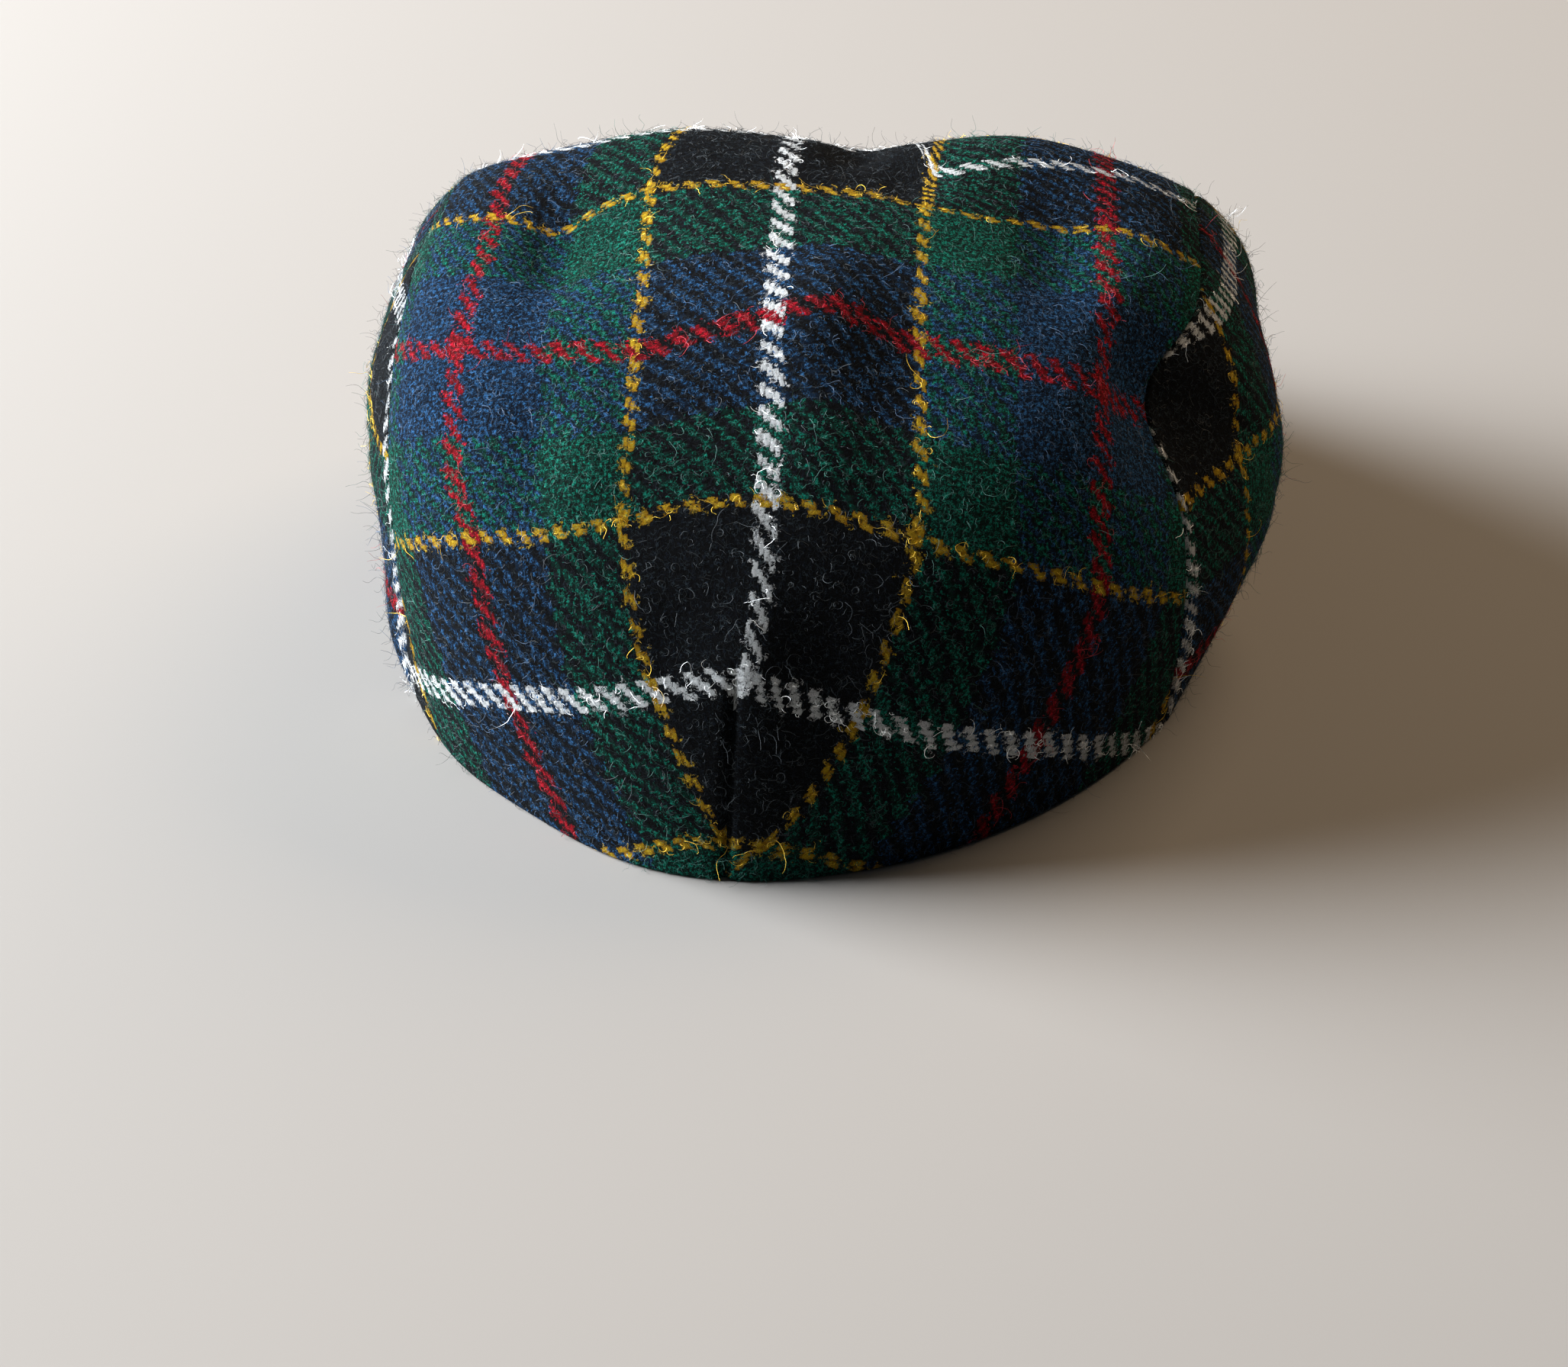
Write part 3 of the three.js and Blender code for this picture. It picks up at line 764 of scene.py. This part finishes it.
def hair_lines(tree, here, size, thick, start):
    """Fine curled lines: the bent edges of cells, broken into lengths. Sizes in mm.
    start, in metres, moves the pattern, so that two of them don't fall together."""
    moved = add_node(tree, VECTOR, {0: here, 1: (start, 0, start)}, operation="ADD")
    bend = add_node(tree, NOISE, {
        "Vector": moved, "Scale": 1 / (BEND["size"] * size * MM), "Detail": 1.0})
    lengths = add_node(tree, MAP, {0: bend, 1: 0.42, 2: 0.5, 3: 0.0, 4: 1.0})
    bend = add_node(tree, VECTOR, {0: bend.outputs["Color"], 1: (0.5, 0.5, 0.5)},
                    operation="SUBTRACT")
    reach = BEND["reach"] * size * MM
    bent = add_node(tree, VECTOR, {0: bend, 1: (reach, reach, reach), 2: moved},
                    operation="MULTIPLY_ADD")
    cells = add_node(tree, "ShaderNodeTexVoronoi", {"Vector": bent, "Scale": 1 / (size * MM)},
                     feature="DISTANCE_TO_EDGE")
    # full inside a third of the thickness, gone beyond two thirds
    line = add_node(tree, MAP, {
        0: cells.outputs["Distance"],
        1: 0.3 * thick / size, 2: 0.65 * thick / size, 3: 1.0, 4: 0.0})
    return add_node(tree, MATH, {0: line, 1: lengths}, operation="MULTIPLY")


# mm; real hairs are 0.03 thick, and these are as coarse as they need to be to show
SHORT_HAIRS = dict(size=1.2, thick=0.2, start=0.0)
LONG_HAIRS = dict(size=2.4, thick=0.13, start=0.3)
print("hairs every", SHORT_HAIRS["size"], "and", LONG_HAIRS["size"], "mm")

# %% [markdown]
# ## From threads to wool
# The woven pattern alone would look printed. In wool the yarns wander and fray,
# their hollows lie in shade, the dye takes unevenly, and hairs lie over the yarns
# and catch the light. Each of these is one step below. Their noises read Object
# coordinates, which are in metres, so they follow the piece and not its threads.

# %% Woollen twill
GRAIN = 0.5  # mm, from fibre to fibre: the finest that shows
DYE_PATCH = 3  # mm
FILL = 0.92  # how much bounced light fills pale wool's hollows
BRIGHTEST, MOST_PALE = 0.9, 7.5  # limits for a hair: its value, and times paler
HAIR_GLOW = (0.0025, 0.005, 0.0065)  # added to every hair, so that black ones show
LONG_GLOW = (0.024, 0.034, 0.038)  # and to the long ones, which stand in the light
NAP, HAIR_RISE = 0.45 * MM, 0.5  # depth of the relief, and a hair's part of it


def wool_twill(name):
    """Woollen twill: matt, hairy, each yarn a little uneven in its colour."""
    material = bpy.data.materials.new(name)
    material.use_nodes = True
    tree = material.node_tree
    tree.nodes.clear()
    here = add_node(tree, "ShaderNodeTexCoord").outputs["Object"]
    flat = add_node(tree, "ShaderNodeUVMap", uv_map="cloth")
    # yarns wander a little, and at their edges they fray into fibres
    yarns = strayed(tree, here, flat, size=7, reach=1.6, Detail=1.0)
    yarns = strayed(tree, here, yarns, size=1.8, reach=1.3, Detail=2.0)
    frayed = strayed(tree, here, yarns, size=0.5, reach=0.6, Detail=2.0, Distortion=1.0)
    colour, height = weave(tree, frayed)
    # fibre by fibre the wool stands higher and lower, for the bumps and the painted shade below
    fibre = add_node(tree, NOISE, {
        "Vector": here, "Scale": 1 / (GRAIN * MM), "Detail": 4.0, "Roughness": 0.75,
        "Distortion": 1.0})
    fibre = add_node(tree, MAP, {0: fibre, 1: 0.32, 2: 0.68, 3: -1.0, 4: 1.0})
    relief = add_node(tree, MATH, {0: height, 1: fibre}, operation="ADD")
    # painted shade: the hollows between yarns and between fibres are darkened in the colour
    depth = add_node(tree, MAP, {0: relief, 1: 0.5, 2: 2.5, 3: 0.02, 4: 1.1})
    # and every patch of yarn took the dye a little differently
    dye = add_node(tree, NOISE, {
        "Vector": here, "Scale": 1 / (DYE_PATCH * MM), "Detail": 2.0})
    dye = add_node(tree, MAP, {0: dye, 1: 0.35, 2: 0.65, 3: 0.75, 4: 1.3})
    depth = add_node(tree, MATH, {0: depth, 1: dye}, operation="MULTIPLY")
    # light that bounces from fibre to fibre fills the hollows of pale wool
    fill = add_node(tree, VECTOR, {0: colour, "Scale": FILL}, operation="SCALE")
    shade = add_node(tree, VECTOR, {0: (1, 1, 1), 1: fill}, operation="SUBTRACT")
    shade = add_node(tree, VECTOR, {0: shade, "Scale": depth}, operation="SCALE")
    shade = add_node(tree, VECTOR, {0: shade, 1: fill}, operation="ADD")
    # the threads' colours with the painted shade of the hollows and the uneven dye
    shaded_and_mottled = add_node(tree, VECTOR, {0: colour, 1: shade}, operation="MULTIPLY")
    # hairs lie over the yarns and come from others a few mm away
    strays = strayed(tree, here, yarns, size=2.2, reach=7, Detail=1.0)
    hair_colour, _ = weave(tree, strays)
    # each stands in the light, so it is paler than the cloth; pale wool can't get paler
    strongest = add_node(tree, "ShaderNodeSeparateColor", {0: hair_colour}, mode="HSV").outputs[2]
    paler = add_node(tree, MATH, {0: BRIGHTEST, 1: strongest}, operation="DIVIDE")
    paler = add_node(tree, MATH, {0: paler, 1: MOST_PALE}, operation="MINIMUM")
    hair_colour = add_node(tree, VECTOR, {0: hair_colour, 1: paler, 2: HAIR_GLOW},
                           operation="MULTIPLY_ADD")
    # hairs that sink between the yarns are in shade too
    lit = add_node(tree, MAP, {0: relief, 1: 0.6, 2: 2.4, 3: 0.08, 4: 1.4})
    hair_colour = add_node(tree, VECTOR, {0: hair_colour, "Scale": lit}, operation="SCALE")
    short = hair_lines(tree, here, **SHORT_HAIRS)
    long = hair_lines(tree, here, **LONG_HAIRS)
    hairy = add_node(tree, MIX, {FACTOR: short, FIRST: shaded_and_mottled, SECOND: hair_colour},
                     data_type="RGBA", clamp_result=True).outputs[MIXED]
    pale = add_node(tree, VECTOR, {0: hair_colour, 1: LONG_GLOW}, operation="ADD")
    hairy = add_node(tree, MIX, {FACTOR: long, FIRST: hairy, SECOND: pale},
                     data_type="RGBA", clamp_result=True).outputs[MIXED]
    hair = add_node(tree, MATH, {0: short, 1: long}, operation="MAXIMUM")
    rough = add_node(tree, MATH, {0: hair, 1: HAIR_RISE, 2: relief}, operation="MULTIPLY_ADD")
    bump = add_node(tree, "ShaderNodeBump", {"Height": rough, "Strength": 1.0, "Distance": NAP})
    # wool scatters nearly all light: very rough, hardly a highlight, a faint cool sheen
    shader = add_node(tree, "ShaderNodeBsdfPrincipled", {
        "Base Color": hairy, "Normal": bump, "Roughness": 0.92, "IOR": 1.5,
        "Specular IOR Level": 0.05, "Sheen Weight": 0.03, "Sheen Roughness": 0.5,
        "Sheen Tint": linear("#c8d2d8")})
    add_node(tree, "ShaderNodeOutputMaterial", {0: shader})
    return material


twill = wool_twill("wool_twill")
for cloth in (top_panel, right_panel, left_panel, peak):
    cloth.data.materials.clear()
    cloth.data.materials.append(twill)
print("weave:", WARP_PITCH, "by", WEFT_PITCH, "mm")

# %% [markdown]
# ## Loose fibres
# Woollen cloth isn't sheared smooth: short ends stand out all over it, and against
# the light they blur the cap's outline. A particle system would be lost in the
# finished mesh, so the fibres are real geometry. One fibre is a curled, tapering
# tube with three sides. Thousands are needed, so they are worked out together and
# become one mesh. A real fibre is 0.03 mm thick, and these are drawn at 0.1 mm, as
# coarse as they need to be to show. Each starts under the surface, sets out at its
# own angle, curls, droops and stays just above the cloth.

# %% Fibres
FIBRE_RADIUS = 0.05  # mm, coarser than real, so that it shows
ROOT, CLEAR = -0.2, 0.12  # mm over the cloth, at its root and at least


def fibres(name, skin, count, seed, segments, lengths, curliness):
    """Curled fibres over a grid of places (mm), with their facing and cloth place."""
    outer, n, across, along = skin
    draw = np.random.default_rng(seed)
    quad = np.linalg.norm(np.cross(outer[1:, :-1] - outer[:-1, :-1],
                                   outer[:-1, 1:] - outer[:-1, :-1]), axis=-1)
    pick = draw.choice(quad.size, size=count, p=quad.ravel() / quad.sum())  # by area
    i, j = np.unravel_index(pick, quad.shape)
    f, g = draw.random(count), draw.random(count)
    blend = lambda grid: ((grid[i, j].T * (1 - f) * (1 - g) + grid[i + 1, j].T * f * (1 - g)
                           + grid[i, j + 1].T * (1 - f) * g + grid[i + 1, j + 1].T * f * g).T)
    root, up = blend(outer), unit(blend(n))
    side = unit(np.cross(up, np.where(np.abs(up[:, 2:]) < 0.9, [[0, 0, 1.0]], [[0, 1.0, 0]])))
    other = np.cross(up, side)
    length = draw.uniform(*lengths, count) * draw.uniform(0.6, 1.0, count)
    step = length / segments
    heading = draw.random(count) * 2 * math.pi
    tilt = np.abs(draw.normal(0.1, 0.33, count)) + 0.1  # radians off the cloth
    curl = draw.normal(0, curliness, count)  # radians a mm, sideways
    droop = draw.normal(-0.14, 0.2, count)  # and up or down
    path, high = [root + up * ROOT], np.full(count, ROOT)
    for _ in range(segments):
        ahead = side * np.cos(heading)[:, None] + other * np.sin(heading)[:, None]
        rise = np.maximum(np.sin(tilt), (CLEAR - high) / step)
        path.append(path[-1] + (ahead * np.cos(tilt)[:, None] + up * rise[:, None]) * step[:, None])
        high = high + rise * step
        heading = heading + curl * step + draw.normal(0, 0.3, count)
        tilt = tilt + droop * step
    path = np.stack(path, 1)
    # none goes below the floor
    path[..., 2] = np.abs(path[..., 2] - FIBRE_RADIUS) + FIBRE_RADIUS
    ahead = unit(np.gradient(path, axis=1))
    one = unit(np.cross(ahead, up[:, None] + 0.01))
    two = np.cross(ahead, one)
    taper = 1 - 0.6 * np.linspace(0, 1, segments + 1)
    thin = FIBRE_RADIUS * taper[None, :, None]
    rings = np.stack([path + thin * (one * math.cos(q) + two * math.sin(q))
                      for q in (0, 2 * math.pi / 3, 4 * math.pi / 3)], 2)
    size = (segments + 1) * 3  # vertices of one fibre
    first = (np.arange(count) * size)[:, None, None]
    ring, corner = np.meshgrid(np.arange(segments), np.arange(3), indexing="ij")
    after = (corner + 1) % 3
    quads = np.stack([ring * 3 + corner, ring * 3 + after,
                      ring * 3 + 3 + after, ring * 3 + 3 + corner], -1)
    quads = (first + quads.reshape(1, -1, 4)).reshape(-1, 4)
    ends = np.array([[2, 1, 0], [size - 3, size - 2, size - 1]])
    ends = (first + ends[None]).reshape(-1, 3)
    mesh = bpy.data.meshes.new(name)
    places = (rings.reshape(-1, 3) - OPENING) * MM
    mesh.from_pydata(places.tolist(), [], quads.tolist() + ends.tolist())
    mesh.uv_layers.new(name="cloth")
    piece = bpy.data.objects.new(name, mesh)
    bpy.context.collection.objects.link(piece)
    vertex, _ = corners(piece)
    set_cloth_uv(piece, blend(across)[vertex // size], blend(along)[vertex // size])
    print(name, count, "fibres,", len(quads) * 2 + len(ends), "triangles")
    return piece


# %% Fibres on each panel
# the places, facing and threads that fibres grow from; the top panel is split at its dart
skins = {"side_left": left_skin, "side_right": right_skin}
for place, half, part in (("top_left", half_left, slice(0, middle + 1)),
                          ("top_right", half_right, slice(middle, None))):
    skins[place] = (outer[:, part], top_facing[:, part], half, t_grid[:, part])
# kind, how many on half a top panel, first seed, bends, length from and to in mm, curl
KINDS = [("short", 5800, 1, 4, (1.0, 3.2), 1.2), ("long", 2300, 11, 9, (3.5, 9.0), 0.9)]
SIDE_SHARE = 0.45  # a side panel has fewer, because it is smaller
fuzz = []
for number, place in enumerate(("top_left", "top_right", "side_left", "side_right")):
    share = SIDE_SHARE if place.startswith("side") else 1.0
    for kind, count, seed, bends, lengths, curl in KINDS:
        piece = fibres(f"{place}_{kind}_fibres", skins[place], int(count * share),
                       seed + number, bends, lengths, curl)
        fuzz.append((piece, place))

# %% Loose wool
CLEARER = (2.2, 2.2, 2.2)  # times the yarn's colour
BACKLIGHT = (0.05, 0.062, 0.066)  # and what the light behind a fibre adds


def loose_wool(name):
    """Loose wool fibre: the yarn's own colour, paler, because light passes through it."""
    material = bpy.data.materials.new(name)
    material.use_nodes = True
    tree = material.node_tree
    tree.nodes.clear()
    flat = add_node(tree, "ShaderNodeUVMap", uv_map="cloth")
    colour, _ = weave(tree, flat)
    pale = add_node(tree, VECTOR, {0: colour, 1: CLEARER, 2: BACKLIGHT}, operation="MULTIPLY_ADD")
    shader = add_node(tree, "ShaderNodeBsdfPrincipled", {
        "Base Color": pale, "Roughness": 0.7, "IOR": 1.55, "Specular IOR Level": 0.3})
    add_node(tree, "ShaderNodeOutputMaterial", {0: shader})
    return material


loose = loose_wool("loose_wool_fibre")
for piece, _ in fuzz:
    piece.data.materials.append(loose)
print("fibres in", len(fuzz), "pieces")

# %% [markdown]
# ## Floor and light
# A pale, seamless floor and the soft light of a low window on the left, a little
# cool. A weaker warm lamp stands high on the far side of the cap, at the right. The
# sky is a plain pale grey and dim, so that the folds keep their shade.

# %% Stage
bpy.ops.object.select_all(action="DESELECT")
bpy.ops.mesh.primitive_plane_add(size=8, location=(0, 0, -0.1 * MM))  # just clear of the hem
floor = bpy.context.object
floor.name = "floor"
paper = bpy.data.materials.new("matt_paper")
paper.use_nodes = True
paper_shader = paper.node_tree.nodes["Principled BSDF"]
paper_shader.inputs["Base Color"].default_value = linear("#989590")
paper_shader.inputs["Roughness"].default_value = 0.95
paper_shader.inputs["Specular IOR Level"].default_value = 0.1
floor.data.materials.append(paper)
floor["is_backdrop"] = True

world = bpy.data.worlds.new("pale_room")
bpy.context.scene.world = world
world.use_nodes = True
sky = world.node_tree.nodes["Background"]
sky.inputs["Color"].default_value = linear("#e8ecf2")
sky.inputs["Strength"].default_value = 0.05
bpy.context.scene.view_settings.view_transform = "Standard"


def soft_light(name, place, aim, size, power, colour):
    """A square lamp at a place, turned to its aim; metres and watts."""
    bpy.ops.object.light_add(type="AREA", location=place)
    lamp = bpy.context.object
    lamp.name = name
    lamp.data.shape, lamp.data.size, lamp.data.energy = "SQUARE", size, power
    lamp.data.color = linear(colour)[:3]
    lamp.rotation_mode = "QUATERNION"
    lamp.rotation_quaternion = (Vector(aim) - Vector(place)).to_track_quat("-Z", "Y")


soft_light("window_left", (-1.72, 0.26, 0.77), (0, 0, 0.05), 1.2, 188, "#f4f8ff")
soft_light("lamp_above", (1.1, 1.3, 1.5), (0.3, 0.1, 0), 1.6, 35, "#ffdfba")
print("stage set")

# %% [markdown]
# ## Hand over
# Every piece is tied to the body it moves with and takes the place of the solid that it
# dresses. A cap has no joints, so all ride on the one body.

# %% Hand over
for piece, node, slot in ((top_panel, "top_panel", "cloth_top"),
                          (right_panel, "side_panel_right", "cloth_right"),
                          (left_panel, "side_panel_left", "cloth_left"),
                          (peak, "peak", "cloth_peak")):
    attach(piece, "root")
    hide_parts(node)
for piece, place in fuzz:
    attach(piece, "root")
low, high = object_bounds()
{"cad": [list(cad_low), list(cad_high)], "visual": [list(low), list(high)]}
print("dressed:", [round(c / MM, 1) for c in high - low], "mm")
